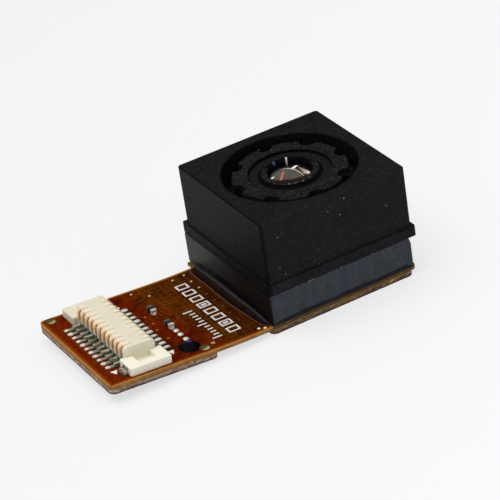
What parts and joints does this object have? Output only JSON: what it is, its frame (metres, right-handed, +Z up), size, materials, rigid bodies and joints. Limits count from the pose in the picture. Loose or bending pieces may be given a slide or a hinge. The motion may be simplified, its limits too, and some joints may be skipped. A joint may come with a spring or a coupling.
{
  "type": "camera module",
  "caption": "Square lens head with a notched round barrel on a short flexible board that ends in a low two-row board-to-board plug.",
  "frame": {"origin": "centre of the whole module's box in X and Y, at the underside of the stiffener under the lens head", "axes": "+X from the plug towards the lens head, +Z up along the lens axis, away from the board"},
  "size_m": [0.02, 0.01, 0.0069],
  "materials": {
    "stiffener": "woven glass laminate, cut edge pale with glass flecks",
    "bond_film": "amber bonding film",
    "flex_core": "amber polyimide with copper inside",
    "coverlay": "glossy brown polyimide film over copper traces",
    "dark_glue": "black cured adhesive",
    "frame_plastic": "satin blue-grey moulded plastic",
    "housing_plastic": "fine matt black moulded plastic with a little dust",
    "barrel_plastic": "matt black moulded plastic",
    "epoxy": "glossy black epoxy",
    "lens_glass": "clear coated lens",
    "spacer_film": "matt black film",
    "filter_glass": "coated filter glass",
    "silicon": "polished silicon",
    "sensor_face": "iridescent filter array",
    "gold": "gold-plated copper",
    "chip_ceramic": "dark ceramic",
    "tinned_metal": "tinned metal",
    "plug_plastic": "ivory moulded plastic",
    "contact_metal": "plated copper alloy",
    "solder": "bright solder",
    "black_ink": "glossy blue-black ink",
    "white_print": "white printing ink"
  },
  "bodies": {
    "root": {"head_stiffener": "stiffener", "plug_stiffener": "stiffener", "head_stiffener_adhesive": "bond_film", "plug_stiffener_adhesive": "bond_film", "flex_core": "flex_core", "coverlay_top": "coverlay", "coverlay_bottom": "coverlay", "frame_adhesive": "dark_glue", "housing_adhesive": "dark_glue", "filter_adhesive": "dark_glue", "lower_frame": "frame_plastic", "upper_housing": "housing_plastic", "lens_barrel": "barrel_plastic", "foot_epoxy_bead": "epoxy", "side_glue": "epoxy", "focus_lock_glue": "epoxy", "lens_1": "lens_glass", "lens_2": "lens_glass", "lens_3": "lens_glass", "spacer_1": "spacer_film", "spacer_2": "spacer_film", "lens_retainer": "barrel_plastic", "infrared_filter": "filter_glass", "die_attach_film": "dark_glue", "image_sensor_die": "silicon", "colour_filter_array": "sensor_face", "bond_pads": "gold", "bond_wires": "gold", "inner_capacitor_bodies": "chip_ceramic", "inner_capacitor_ends": "tinned_metal", "plug_housing": "plug_plastic", "contacts_tip_row": "contact_metal", "contacts_head_row": "contact_metal", "solder_pads_tip_row": "solder", "solder_pads_head_row": "solder", "hold_down_tabs": "tinned_metal", "chip_bodies": "chip_ceramic", "chip_ends": "tinned_metal", "bare_solder_pads": "solder", "ink_dot": "black_ink", "fiducial_marks": "gold", "test_pads": "gold", "via_caps": "gold", "printed_marks": "white_print"}
  },
  "joints": []
}
